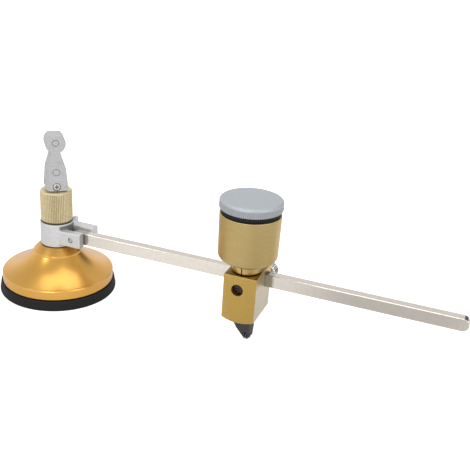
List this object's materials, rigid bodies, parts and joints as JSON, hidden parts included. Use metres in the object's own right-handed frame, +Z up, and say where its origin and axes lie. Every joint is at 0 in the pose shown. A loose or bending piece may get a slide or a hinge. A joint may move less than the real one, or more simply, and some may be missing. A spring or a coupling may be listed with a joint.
{
  "type": "circle cutter",
  "caption": "Circle cutter for glass: a suction base with a lever, a swivelling arm, and a sliding turret that carries a cutting wheel under a hollow knob.",
  "frame": {"origin": "centre of the suction disc's flat underside", "axes": "+Z up through the suction base and its lever, +X along the rod towards the turret, +Y away from the picture's viewer"},
  "size_m": [0.264, 0.066, 0.0922],
  "materials": {
    "rubber": "matt",
    "gold_bell": "satin, gold anodised",
    "steel": "plain",
    "nylon": "matt",
    "cast_grey": "grey casting",
    "brass": "knurled, pale",
    "nickel": "nickel plated",
    "gold_turret": "brushed, gold anodised",
    "black_plastic": "fine cross-hatched",
    "carbide": "ground",
    "grey_cap": "satin grey, knurled edge"
  },
  "bodies": {
    "base": {"suction_disc": "rubber", "base_bell": "gold_bell", "spigot": "gold_bell", "return_spring": "steel", "swivel_washer": "nylon"},
    "stem": {"draw_plate": "steel", "stem": "steel"},
    "lever": {"lever": "cast_grey", "lever_screw": "steel"},
    "nut": {"knurled_nut": "brass"},
    "yoke": {"yoke": "cast_grey", "rod_pin": "steel"},
    "arm": {"rod": "nickel"},
    "slider": {"slider_block": "gold_turret", "set_screw": "steel", "spindle": "steel", "neck_ring": "gold_turret", "cutter_head": "black_plastic", "wheel_axle": "steel", "handle_washer": "steel", "handle_screw": "steel"},
    "clamp": {"clamp_screw": "nickel"},
    "wheel": {"cutting_wheel": "carbide"},
    "handle": {"handle_barrel": "gold_turret"},
    "seal": {"seal_ring": "rubber"},
    "cap": {"cap": "grey_cap"}
  },
  "joints": [
    {"name": "stem_lift", "type": "slide", "parent": "base", "child": "stem", "axis": [0, 0, 1], "range_m": [0, 0.00451], "deforming": ["return_spring"]},
    {"name": "lever_throw", "type": "hinge", "parent": "stem", "child": "lever", "pos_m": [0, 0, 0.06295], "axis": [0.6225, -0.7826, 0], "range_deg": [0, 90]},
    {"name": "nut_turn", "type": "hinge", "parent": "base", "child": "nut", "pos_m": [0, 0, 0.0419], "axis": [0, 0, 1], "range_deg": [-180, 180]},
    {"name": "yoke_swivel", "type": "hinge", "parent": "base", "child": "yoke", "pos_m": [0, 0, 0.0279], "axis": [0, 0, 1], "continuous": true},
    {"name": "arm_tilt", "type": "hinge", "parent": "yoke", "child": "arm", "pos_m": [0.0131, 0, 0.0339], "axis": [0, -1, 0], "range_deg": [-4, 30]},
    {"name": "turret_slide", "type": "slide", "parent": "arm", "child": "slider", "axis": [1, 0, 0], "range_m": [-0.0752, 0.098]},
    {"name": "clamp_turn", "type": "hinge", "parent": "slider", "child": "clamp", "pos_m": [0.1236, 0.0073, 0.0324], "axis": [0, 1, 0], "range_deg": [-180, 180]},
    {"name": "wheel_spin", "type": "hinge", "parent": "slider", "child": "wheel", "pos_m": [0.1209, -0.0074, 0.0024], "axis": [1, 0, 0], "continuous": true},
    {"name": "handle_turn", "type": "hinge", "parent": "slider", "child": "handle", "pos_m": [0.118, -0.0074, 0.0471], "axis": [0, 0, 1], "continuous": true},
    {"name": "cap_lift", "type": "slide", "parent": "handle", "child": "seal", "axis": [0, 0, 1], "range_m": [0, 0.0081]},
    {"name": "cap_turn", "type": "hinge", "parent": "seal", "child": "cap", "pos_m": [0.118, -0.0074, 0.0749], "axis": [0, 0, 1], "range_deg": [0, 1440]}
  ],
  "couplings": [
    {"joint": "stem_lift", "follows": "lever_throw", "m_per_rad": 0.0028648},
    {"joint": "cap_lift", "follows": "cap_turn", "m_per_rad": 0.00031831}
  ]
}
